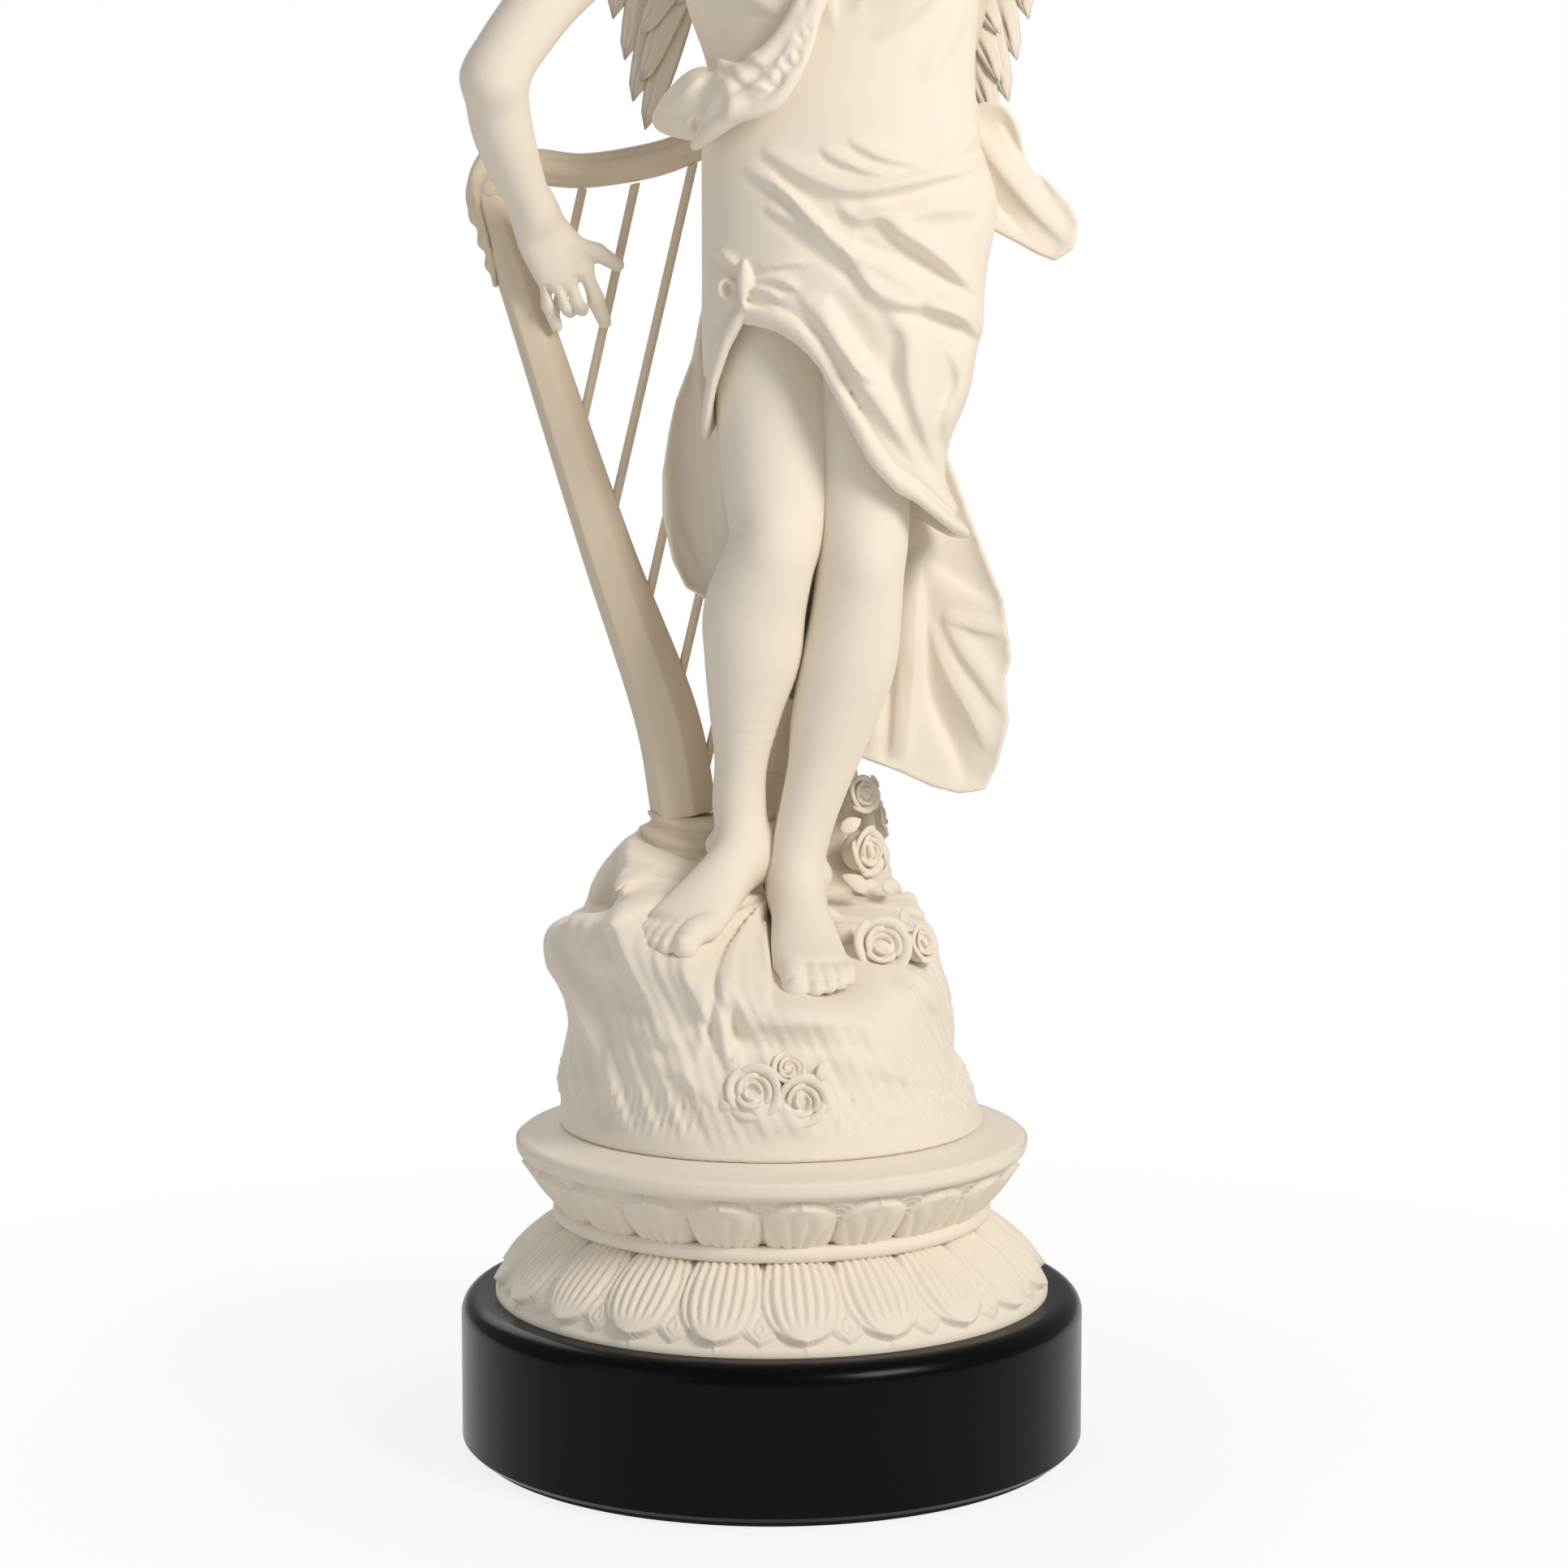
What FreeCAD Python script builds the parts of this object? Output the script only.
import FreeCAD, Part
import math
import os
import Sketcher
from FreeCAD import Placement, Rotation, Vector

# Figural table lamp: a winged muse in a short tunic plays a harp on a rose-grown rock.
# The rock stands on a lotus-petal pedestal and a turned black plinth, and a brass pipe
# behind the figure carries the socket, the bulb, the lamp harp and the shade.
# Frame: millimetres, +Z up, origin at the middle of the plinth's flat underside,
# the figure faces -Y.  Heights of the figure are counted from the rock's top, "ground".

os.makedirs("parts", exist_ok=True)
doc = FreeCAD.newDocument("FiguralTableLamp")

# ------------------------------------------------------------------ driving dimensions

DIMENSIONS = (
    # felt and turned plinth
    ("felt_thickness", 2.0), ("felt_margin", 4.0),
    ("plinth_radius", 95.0), ("plinth_height", 45.0),
    ("plinth_top_round", 8.0), ("plinth_foot_chamfer", 3.0),
    ("recess_radius", 72.0), ("recess_depth", 16.0),
    ("bushing_height", 9.0), ("bushing_bore", 6.6), ("bushing_wall", 1.7),
    ("bushing_flange", 3.2), ("bushing_flange_thickness", 2.0),
    # lotus pedestal
    ("pedestal_height", 52.0), ("bell_foot_radius", 84.5), ("bell_foot_lip", 2.5),
    ("bell_top_radius", 63.0), ("bell_height", 23.0), ("bell_round", 60.0),
    ("ring_height", 4.5), ("ring_radius", 66.0),
    ("band_radius", 63.0), ("band_top_radius", 72.0),
    ("rim_height", 9.0), ("rim_radius", 78.0), ("rim_under_radius", 74.0), ("rim_drop", 3.0),
    ("petal_count", 18), ("petal_phase", 6.7), ("petal_seat", 3.0),
    ("petal_width", 24.0), ("petal_length", 26.0), ("petal_relief", 2.2), ("petal_bevel", 3.0),
    ("tip_width", 9.0), ("tip_length", 9.0), ("tip_relief", 1.5), ("tip_bevel", 1.5),
    ("fan_width", 20.0), ("fan_height", 13.0), ("fan_relief", 1.5), ("fan_bevel", 2.0),
    # rock, pipe line
    ("rock_radius", 65.0), ("rock_height", 66.0),
    ("pipe_offset", 12.0), ("pipe_setback", 36.0),
    ("pipe_radius", 5.1), ("pipe_bore", 7.0), ("pipe_rise", 430.0), ("pipe_tail", 9.0),
    ("pipe_clearance", 0.1),
    # harp of the figure
    ("harp_setback", 23.0), ("string_radius", 1.4),
    # lamp hardware
    ("nut_width", 16.0), ("nut_height", 5.0), ("washer_radius", 15.0), ("washer_thickness", 1.5),
    ("saddle_thickness", 1.5), ("saddle_width", 12.0), ("saddle_reach", 24.0),
    ("saddle_post_height", 11.0), ("harp_wire_radius", 2.2),
    ("harp_height", 195.0), ("harp_half_width", 56.0), ("harp_bend", 24.0),
    ("harp_seat_radius", 8.0), ("harp_seat_height", 5.0),
    ("stud_radius", 3.1), ("stud_height", 14.0),
    ("sleeve_clearance", 0.06), ("sleeve_wall", 1.0), ("sleeve_length", 17.0),
    ("sleeve_travel", 11.5), ("sleeve_rest", 0.3),
    ("socket_seat", 10.0), ("cap_height", 15.0), ("cap_radius", 17.5),
    ("cap_neck_radius", 8.0), ("cap_wall", 0.8),
    ("shell_height", 40.0), ("shell_wall", 0.8), ("liner_wall", 0.9), ("socket_fit", 0.05),
    ("insert_radius", 14.6), ("insert_wall", 0.8), ("insert_floor", 12.0),
    ("knob_height", 17.0), ("knob_stem_radius", 1.6), ("knob_radius", 6.0), ("knob_length", 9.0),
    ("knob_standoff", 3.0), ("knob_clearance", 0.06), ("stem_gap", 0.3), ("knob_flutes", 10),
    ("bulb_base_radius", 13.2), ("bulb_base_length", 24.0), ("bulb_radius", 30.0),
    ("bulb_length", 84.0), ("bulb_neck_radius", 14.5),
    ("shade_height", 205.0), ("shade_bottom_radius", 165.0), ("shade_top_radius", 90.0),
    ("shade_wall", 1.2), ("shade_drop", 7.0), ("shade_ring_wire", 1.5),
    ("ring_gap", 0.1), ("spider_arms", 3),
    ("spider_radius", 14.0), ("spider_thickness", 2.8), ("spider_clearance", 0.35),
    ("spider_arm_radius", 1.3),
    ("finial_radius", 8.5), ("finial_height", 34.0), ("finial_clearance", 0.06), ("finial_gap", 0.4),
)

sheet = doc.addObject("Spreadsheet::Sheet", "Sizes")
for row, (alias, value) in enumerate(DIMENSIONS, start=1):
    sheet.set("A%d" % row, alias)
    sheet.set("B%d" % row, str(value))
    sheet.setAlias("B%d" % row, alias)
doc.recompute()


def size(expression):
    """Value in millimetres of an expression on the sheet's names."""
    return float(sheet.evalExpression(expression))


# heights of the stack, as expressions on the sheet
PLINTH_TOP = "(Sizes.felt_thickness + Sizes.plinth_height)"
PEDESTAL_TOP = "(Sizes.felt_thickness + Sizes.plinth_height + Sizes.pedestal_height)"
GROUND = "(Sizes.felt_thickness + Sizes.plinth_height + Sizes.pedestal_height + Sizes.rock_height)"

# ------------------------------------------------------------------ building helpers

finished = []          # the sub-parts, each written to a file named by its Label


def finish(piece, label):
    """Name a finished sub-part and keep it for export."""
    piece.Label = label
    finished.append(piece)
    return piece


def new_body(label, height="0", across="0", back="0"):
    """A body whose own origin lies at (across, back, height), given as expressions."""
    body = doc.addObject("PartDesign::Body", label)
    for axis, place in (("x", across), ("y", back), ("z", height)):
        body.setExpression("Placement.Base." + axis, place)
    return finish(body, label)


def pipe_body(label, height):
    """A body on the line of the lamp pipe."""
    return new_body(label, height, "Sizes.pipe_offset", "Sizes.pipe_setback")


def new_sketch(body, name, role="XZ_Plane"):
    sketch = body.newObject("Sketcher::SketchObject", name)
    plane = [item for item in body.Origin.OriginFeatures if item.Role == role][0]
    sketch.AttachmentSupport = [(plane, "")]
    sketch.MapMode = "FlatFace"
    return sketch


def pin(sketch, edge, end, across, up):
    """Hold one end of an edge at (across, up), each an expression."""
    for kind, axis, place in (("DistanceX", -2, across), ("DistanceY", -1, up)):
        if place == "0":
            sketch.addConstraint(Sketcher.Constraint("PointOnObject", edge, end, axis))
            continue
        value = size(place)
        index = sketch.addConstraint(Sketcher.Constraint(kind, -1, 1, edge, end, value))
        sketch.setExpression("Constraints[%d]" % index, place)


def draw_outline(sketch, corners):
    """Closed outline; a corner is (across, up) or (across, up, radius, side), where the
    edge that leaves it is an arc of that radius, bulging to the left (+1) or right (-1)."""
    spots = [Vector(size(corner[0]), size(corner[1]), 0) for corner in corners]
    ends = []
    for number, corner in enumerate(corners):
        start, stop = spots[number], spots[(number + 1) % len(spots)]
        if len(corner) == 2:
            sketch.addGeometry(Part.LineSegment(start, stop), False)
            ends.append((1, 2))
            continue
        radius, side = size(corner[2]), corner[3]
        chord = stop - start
        out = Vector(-chord.y, chord.x, 0).normalize() * side
        reach = math.sqrt(max(radius ** 2 - chord.Length ** 2 / 4, 0))
        centre = (start + stop) / 2 - out * reach
        turn = Part.Arc(start, centre + out * radius, stop) if side < 0 else \
            Part.Arc(stop, centre + out * radius, start)
        sketch.addGeometry(turn, False)
        ends.append((1, 2) if side < 0 else (2, 1))
        index = sketch.addConstraint(Sketcher.Constraint("Radius", number, radius))
        sketch.setExpression("Constraints[%d]" % index, corner[2])
    for number in range(len(corners)):
        following = (number + 1) % len(corners)
        sketch.addConstraint(Sketcher.Constraint(
            "Coincident", number, ends[number][1], following, ends[following][0]))
    for number, corner in enumerate(corners):
        pin(sketch, number, ends[number][0], corner[0], corner[1])


def turned(body, name, corners, kind="PartDesign::Revolution"):
    """Turn an outline of (radius, height) corners about the body's upright axis."""
    sketch = new_sketch(body, name + "Outline")
    draw_outline(sketch, corners)
    feature = body.newObject(kind, name)
    feature.Profile = sketch
    feature.ReferenceAxis = (sketch, ["V_Axis"])
    feature.Angle = 360
    body.Tip = feature
    return feature


def turned_part(label, height, corners, maker=pipe_body):
    body = maker(label, height)
    turned(body, label.title().replace("_", ""), corners)
    return body


def round_section(sketch, radius, across="0", up="0"):
    """A circle of a radius and place given as expressions."""
    spot = Vector(size(across), size(up), 0)
    sketch.addGeometry(Part.Circle(spot, Vector(0, 0, 1), size(radius)), False)
    edge = sketch.GeometryCount - 1
    index = sketch.addConstraint(Sketcher.Constraint("Radius", edge, size(radius)))
    sketch.setExpression("Constraints[%d]" % index, radius)
    pin(sketch, edge, 3, across, up)


# ------------------------------------------------------------------ plinth and its fittings

plinth = new_body("plinth", "Sizes.felt_thickness")
INNER = "(Sizes.pipe_radius + Sizes.pipe_clearance)"
turned(plinth, "PlinthTurning", (
    ("0", "Sizes.recess_depth"),
    ("Sizes.recess_radius", "Sizes.recess_depth"),
    ("Sizes.recess_radius", "0"),
    ("Sizes.plinth_radius - Sizes.plinth_foot_chamfer", "0"),
    ("Sizes.plinth_radius", "Sizes.plinth_foot_chamfer"),
    ("Sizes.plinth_radius", "Sizes.plinth_height - Sizes.plinth_top_round",
     "Sizes.plinth_top_round", -1),
    ("Sizes.plinth_radius - Sizes.plinth_top_round", "Sizes.plinth_height"),
    ("0", "Sizes.plinth_height"),
))


def bore(body, name, radius, across="Sizes.pipe_offset", back="Sizes.pipe_setback",
         role="XY_Plane"):
    """A round hole through the whole body."""
    sketch = new_sketch(body, name + "Outline", role)
    round_section(sketch, radius, across, back)
    doc.recompute()
    cut = body.newObject("PartDesign::Pocket", name)
    cut.Profile = sketch
    cut.Type = 1
    cut.Midplane = True
    body.Tip = cut
    return cut


bore(plinth, "PipeHole", INNER)
cord_way = new_sketch(plinth, "CordWayOutline")
round_section(cord_way, "Sizes.bushing_bore / 2 + Sizes.bushing_wall + Sizes.pipe_clearance",
              "0", "Sizes.bushing_height")
doc.recompute()
cord_hole = plinth.newObject("PartDesign::Pocket", "CordWay")
cord_hole.Profile = cord_way
cord_hole.Type = 0
cord_hole.Reversed = False
cord_hole.Length = size("Sizes.plinth_radius + 1")
cord_hole.setExpression("Length", "Sizes.plinth_radius + 1")
plinth.Tip = cord_hole

felt = new_body("felt_pad")
felt_outline = new_sketch(felt, "FeltOutline", "XY_Plane")
round_section(felt_outline, "Sizes.plinth_radius - Sizes.felt_margin")
felt_sheet = felt.newObject("PartDesign::Pad", "FeltSheet")
felt_sheet.Profile = felt_outline
felt_sheet.setExpression("Length", "Sizes.felt_thickness")
felt.Tip = felt_sheet

# a flanged sleeve in the back wall of the plinth, for the cord
bushing = new_body("cord_bushing", "Sizes.felt_thickness + Sizes.bushing_height",
                   back="Sizes.plinth_radius")
bushing.Placement.Rotation = Rotation(Vector(1, 0, 0), -90)
SLEEVE = "(Sizes.bushing_bore / 2 + Sizes.bushing_wall)"
turned(bushing, "BushingTurning", (
    ("Sizes.bushing_bore / 2", "0 - (Sizes.plinth_radius - Sizes.recess_radius)"),
    (SLEEVE, "0 - (Sizes.plinth_radius - Sizes.recess_radius)"),
    (SLEEVE, "0"),
    (SLEEVE + " + Sizes.bushing_flange", "0"),
    (SLEEVE + " + Sizes.bushing_flange", "Sizes.bushing_flange_thickness"),
    ("Sizes.bushing_bore / 2", "Sizes.bushing_flange_thickness"),
))

# ------------------------------------------------------------------ lotus pedestal
# A bell spreads downwards under rows of petals, a ring ties its top, and a flared band
# of fans carries the rim.  Petals and fans are pads with bevelled crowns, set tangent
# to the turned core and repeated around it.

pedestal = new_body("lotus_pedestal", PLINTH_TOP)
pedestal.setExpression("Placement.Rotation.Angle", "Sizes.petal_phase")
RING_LOW = "(Sizes.bell_height)"
RING_TOP = "(Sizes.bell_height + Sizes.ring_height)"
RIM_LOW = "(Sizes.pedestal_height - Sizes.rim_height - Sizes.rim_drop)"
turned(pedestal, "PedestalTurning", (
    ("0", "0"),
    ("Sizes.bell_foot_radius", "0"),
    ("Sizes.bell_foot_radius", "Sizes.bell_foot_lip", "Sizes.bell_round", -1),
    ("Sizes.bell_top_radius", RING_LOW),
    ("Sizes.ring_radius - Sizes.ring_height / 4", RING_LOW, "Sizes.ring_height / 1.9", -1),
    ("Sizes.ring_radius - Sizes.ring_height / 4", RING_TOP),
    ("Sizes.band_radius", RING_TOP),
    ("Sizes.band_top_radius", RIM_LOW),
    ("Sizes.rim_under_radius", RIM_LOW),
    ("Sizes.rim_radius", RIM_LOW + " + Sizes.rim_height * 0.6",
     "Sizes.rim_height", -1),
    ("Sizes.rim_radius - Sizes.rim_drop", RIM_LOW + " + Sizes.rim_height",
     "Sizes.rim_radius", -1),
    ("Sizes.rock_radius + 2", "Sizes.pedestal_height"),
    ("0", "Sizes.pedestal_height"),
))


def slanted_sketch(body, name, radius, height, lean, turn):
    """A sketch that faces outwards at the front, leans back by an angle and is turned
    around the pedestal by another; each is an expression."""
    sketch = new_sketch(body, name)
    around = Placement(Vector(0, 0, 0), Rotation(Vector(0, 1, 0), size(turn)))
    outwards = Placement(Vector(0, size(height), size(radius)),
                         Rotation(Vector(-1, 0, 0), size(lean)))
    sketch.AttachmentOffset = around.multiply(outwards)
    if turn == "0":
        sketch.setExpression("AttachmentOffset.Base.y", height)
        sketch.setExpression("AttachmentOffset.Base.z", radius)
    return sketch


def leaf_outline(sketch, width, start, length, inset, hand):
    """Leaf outline from its foot at start to its tip, inset all round; hand is +1 for a
    leaf that points up its sketch and -1 for one that points down."""
    half = "(%s / 2 - %s)" % (width, inset)
    sign = "" if hand > 0 else "0 - "
    foot = "%s(%s + %s)" % (sign, start, inset)
    waist = "%s(%s + %s * 0.55)" % (sign, start, length)
    tip = "%s(%s + %s - %s)" % (sign, start, length, inset)
    bulge = "(%s * 0.6)" % width
    draw_outline(sketch, (
        (half + " * 0.8", foot),
        (half, waist, bulge, -hand),
        ("0", tip, bulge, -hand),
        ("0 - " + half, waist),
        ("0 - " + half + " * 0.8", foot),
    ))


def leaf_row(body, name, seat, lean, hand, leaf, turn="0"):
    """A bevelled leaf on its seat (radius, height), repeated all around the body.
    The leaf is (width, start, length, proud, bevel), each an expression."""
    width, start, length, proud, bevel = leaf
    radius, height = seat
    foot = slanted_sketch(body, name + "Foot", radius, height, lean, turn)
    leaf_outline(foot, width, start, length, "0", hand)
    crown = slanted_sketch(body, name + "Crown", "%s + %s * cos(%s)" % (radius, proud, lean),
                           "%s + %s * sin(%s)" % (height, proud, lean), lean, turn)
    leaf_outline(crown, width, start, length, bevel, hand)
    doc.recompute()
    one = body.newObject("PartDesign::AdditiveLoft", name)
    one.Profile = foot
    one.Sections = [crown]
    one.Ruled = True
    body.Tip = one
    doc.recompute()
    row = body.newObject("PartDesign::PolarPattern", name + "Row")
    row.Originals = [one]
    row.Axis = ([item for item in body.Origin.OriginFeatures if item.Role == "Z_Axis"][0], [""])
    row.Angle = 360
    row.setExpression("Occurrences", "Sizes.petal_count")
    body.Tip = row
    return row


BELL_LEAN = "atan((Sizes.bell_foot_radius - Sizes.bell_top_radius) / Sizes.bell_height)"
BAND_LEAN = "(-1 * atan((Sizes.band_top_radius - Sizes.band_radius) / (%s - %s)))" % (
    RIM_LOW, RING_TOP)
HALF_PITCH = "180 / Sizes.petal_count"
bell_seat = ("(Sizes.bell_top_radius - Sizes.petal_seat)", RING_LOW)
band_seat = ("(Sizes.band_radius - Sizes.petal_seat)", RING_TOP)
leaf_row(pedestal, "Petal", bell_seat, BELL_LEAN, -1, (
    "Sizes.petal_width", "0", "Sizes.petal_length",
    "(Sizes.petal_relief + Sizes.petal_seat)", "Sizes.petal_bevel"))
leaf_row(pedestal, "PetalTip", bell_seat, BELL_LEAN, -1, (
    "Sizes.tip_width", "(Sizes.petal_length - Sizes.tip_length)", "Sizes.tip_length",
    "(Sizes.tip_relief + Sizes.petal_seat)", "Sizes.tip_bevel"), HALF_PITCH)
leaf_row(pedestal, "Fan", band_seat, BAND_LEAN, 1, (
    "Sizes.fan_width", "0", "Sizes.fan_height",
    "(Sizes.fan_relief + Sizes.petal_seat)", "Sizes.fan_bevel"))
bore(pedestal, "PipeWay", INNER,
     "Sizes.pipe_offset * cos(Sizes.petal_phase) + Sizes.pipe_setback * sin(Sizes.petal_phase)",
     "Sizes.pipe_setback * cos(Sizes.petal_phase) - Sizes.pipe_offset * sin(Sizes.petal_phase)")

# ------------------------------------------------------------------ lamp pipe and its nuts

PIPE_LOW = "Sizes.pipe_tail"
PIPE_TOP = "(%s + Sizes.pipe_rise)" % GROUND
CEILING = "(Sizes.felt_thickness + Sizes.recess_depth)"
turned_part("lamp_pipe", PIPE_LOW, (
    ("Sizes.pipe_bore / 2", "0"),
    ("Sizes.pipe_radius", "0"),
    ("Sizes.pipe_radius", PIPE_TOP + " - " + PIPE_LOW),
    ("Sizes.pipe_bore / 2", PIPE_TOP + " - " + PIPE_LOW),
))
turned_part("base_washer", CEILING + " - Sizes.washer_thickness", (
    (INNER, "0"),
    ("Sizes.washer_radius", "0"),
    ("Sizes.washer_radius", "Sizes.washer_thickness"),
    (INNER, "Sizes.washer_thickness"),
))


def hex_nut(label, height):
    """Plain hexagon nut on the lamp pipe."""
    nut = pipe_body(label, height)
    sketch = new_sketch(nut, label + "_outline", "XY_Plane")
    corner = "Sizes.nut_width / 2 / cos(30)"
    turns = [("%s * cos(%d)" % (corner, 60 * k), "%s * sin(%d)" % (corner, 60 * k))
             for k in range(6)]
    draw_outline(sketch, [(across.replace("cos(0)", "1"), "0" if k % 3 == 0 else up)
                          for k, (across, up) in enumerate(turns)])
    round_section(sketch, INNER)
    pad = nut.newObject("PartDesign::Pad", label + "_pad")
    pad.Profile = sketch
    pad.setExpression("Length", "Sizes.nut_height")
    nut.Tip = pad
    return nut


hex_nut("base_nut", CEILING + " - Sizes.washer_thickness - Sizes.nut_height")
SADDLE = "(%s - Sizes.socket_seat)" % PIPE_TOP
hex_nut("saddle_nut", SADDLE + " - Sizes.nut_height")

# ------------------------------------------------------------------ lamp harp and its saddle

saddle = pipe_body("harp_saddle", SADDLE)
strap_outline = new_sketch(saddle, "StrapOutline", "XY_Plane")
REACH = "Sizes.saddle_reach"
draw_outline(strap_outline, (
    ("0 - " + REACH, "0 - Sizes.saddle_width / 2"),
    (REACH, "0 - Sizes.saddle_width / 2", "Sizes.saddle_width * 0.6", -1),
    (REACH, "Sizes.saddle_width / 2"),
    ("0 - " + REACH, "Sizes.saddle_width / 2", "Sizes.saddle_width * 0.6", -1),
))
round_section(strap_outline, INNER)
strap = saddle.newObject("PartDesign::Pad", "Strap")
strap.Profile = strap_outline
strap.setExpression("Length", "Sizes.saddle_thickness")
saddle.Tip = strap
post_outline = new_sketch(saddle, "PostOutline", "XY_Plane")
round_section(post_outline, "Sizes.harp_wire_radius", REACH)
round_section(post_outline, "Sizes.harp_wire_radius", "0 - " + REACH)
posts = saddle.newObject("PartDesign::Pad", "Posts")
posts.Profile = post_outline
posts.setExpression("Length", "Sizes.saddle_thickness + Sizes.saddle_post_height")
saddle.Tip = posts

POST_TOP = "(%s + Sizes.saddle_thickness + Sizes.saddle_post_height)" % SADDLE
HARP_RISE = "(Sizes.harp_height - Sizes.saddle_post_height)"
SEAT = "(%s + %s)" % (POST_TOP, HARP_RISE)
harp = pipe_body("lamp_harp", POST_TOP)
harp_path = new_sketch(harp, "HarpLine")


def harp_line(sketch):
    """Half of the bent wire: up the leg, out and round the bulb, and in to the seat."""
    reach, wide, bend = size(REACH), size("Sizes.harp_half_width"), size("Sizes.harp_bend")
    rise = size(HARP_RISE)
    leg = size("Sizes.sleeve_length + Sizes.sleeve_travel - Sizes.saddle_post_height")
    corners = [Vector(reach, 0, 0), Vector(reach, leg + bend * 0.5, 0),
               Vector(wide, leg + bend * 2.1, 0), Vector(wide, rise - bend * 2.2, 0),
               Vector(size("Sizes.harp_seat_radius") * 0.5,
                      rise - size("Sizes.harp_seat_height") / 2, 0)]
    start = corners[0]
    for before, corner, after in zip(corners, corners[1:], corners[2:]):
        inwards = (before - corner).normalize()
        onwards = (after - corner).normalize()
        half_turn = (math.pi - inwards.getAngle(onwards)) / 2
        cut = bend * math.tan(half_turn) if half_turn < 0.6 else bend * 1.1
        first, last = corner + inwards * cut, corner + onwards * cut
        bisector = (inwards + onwards).normalize()
        radius = cut / math.tan(half_turn)
        middle = corner + bisector * (radius / math.cos(half_turn) - radius)
        sketch.addGeometry(Part.LineSegment(start, first), False)
        sketch.addGeometry(Part.Arc(first, middle, last), False)
        start = last
    sketch.addGeometry(Part.LineSegment(start, corners[-1]), False)


harp_line(harp_path)
wire_section = new_sketch(harp, "WireSection", "XY_Plane")
round_section(wire_section, "Sizes.harp_wire_radius", REACH)
doc.recompute()
bow = harp.newObject("PartDesign::AdditivePipe", "Bow")
bow.Profile = wire_section
bow.Spine = harp_path
harp.Tip = bow
doc.recompute()
mirror = harp.newObject("PartDesign::Mirrored", "OtherBow")
mirror.Originals = [bow]
mirror.MirrorPlane = ([item for item in harp.Origin.OriginFeatures
                       if item.Role == "YZ_Plane"][0], [""])
harp.Tip = mirror
doc.recompute()
turned(harp, "SeatAndStud", (
    ("0", HARP_RISE + " - Sizes.harp_seat_height"),
    ("Sizes.harp_seat_radius", HARP_RISE + " - Sizes.harp_seat_height"),
    ("Sizes.harp_seat_radius", HARP_RISE),
    ("Sizes.stud_radius", HARP_RISE),
    ("Sizes.stud_radius", HARP_RISE + " + Sizes.stud_height"),
    ("0", HARP_RISE + " + Sizes.stud_height"),
))

SLEEVE_BORE = "(Sizes.harp_wire_radius + Sizes.sleeve_clearance)"
for label, sign in (("harp_sleeve_left", "0 - "), ("harp_sleeve_right", "")):
    sleeve = new_body(label, SADDLE + " + Sizes.saddle_thickness + Sizes.sleeve_rest",
                      "Sizes.pipe_offset + " + sign + REACH if not sign
                      else "Sizes.pipe_offset - " + REACH, "Sizes.pipe_setback")
    turned(sleeve, "Sleeve" + label[12:], (
        (SLEEVE_BORE, "0"),
        (SLEEVE_BORE + " + Sizes.sleeve_wall * 1.6", "0"),
        (SLEEVE_BORE + " + Sizes.sleeve_wall", "Sizes.sleeve_wall * 2"),
        (SLEEVE_BORE + " + Sizes.sleeve_wall", "Sizes.sleeve_length"),
        (SLEEVE_BORE, "Sizes.sleeve_length"),
    ))

# ------------------------------------------------------------------ socket, switch and bulb

CAP_LOW = "(%s + Sizes.saddle_thickness)" % SADDLE
SHELL_LOW = "(%s + Sizes.cap_height)" % CAP_LOW
turned_part("socket_cap", CAP_LOW, (
    (INNER, "0"),
    ("Sizes.cap_neck_radius", "0"),
    ("Sizes.cap_neck_radius", "Sizes.cap_height * 0.45"),
    ("Sizes.cap_radius", "Sizes.cap_height", "Sizes.cap_radius * 0.8", -1),
    ("Sizes.cap_radius - Sizes.cap_wall", "Sizes.cap_height"),
    (INNER, "Sizes.cap_height * 0.5"),
))
SHELL_IN = "(Sizes.cap_radius - Sizes.shell_wall)"
KNOB_LINE = "(%s + Sizes.knob_height)" % SHELL_LOW
shell = turned_part("socket_shell", SHELL_LOW, (
    (SHELL_IN, "0"),
    ("Sizes.cap_radius", "0"),
    ("Sizes.cap_radius", "Sizes.shell_height * 0.8"),
    ("Sizes.cap_radius + Sizes.shell_wall", "Sizes.shell_height"),
    (SHELL_IN + " + Sizes.shell_wall", "Sizes.shell_height"),
    (SHELL_IN, "Sizes.shell_height * 0.8"),
))
LINER_OUT = "(%s - Sizes.socket_fit)" % SHELL_IN
LINER_IN = "(%s - Sizes.liner_wall)" % LINER_OUT
liner = turned_part("insulating_sleeve", SHELL_LOW, (
    (LINER_IN, "0"),
    (LINER_OUT, "0"),
    (LINER_OUT, "Sizes.shell_height * 0.8"),
    (LINER_IN, "Sizes.shell_height * 0.8"),
))
turned_part("socket_insert", SHELL_LOW, (
    ("0", "0"),
    (LINER_IN + " - Sizes.socket_fit", "0"),
    (LINER_IN + " - Sizes.socket_fit", "Sizes.insert_floor"),
    ("Sizes.insert_radius", "Sizes.insert_floor"),
    ("Sizes.insert_radius", "Sizes.shell_height * 0.75"),
    ("Sizes.insert_radius - Sizes.insert_wall", "Sizes.shell_height * 0.75"),
    ("Sizes.insert_radius - Sizes.insert_wall", "Sizes.insert_floor"),
    ("0", "Sizes.insert_floor"),
))


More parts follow.
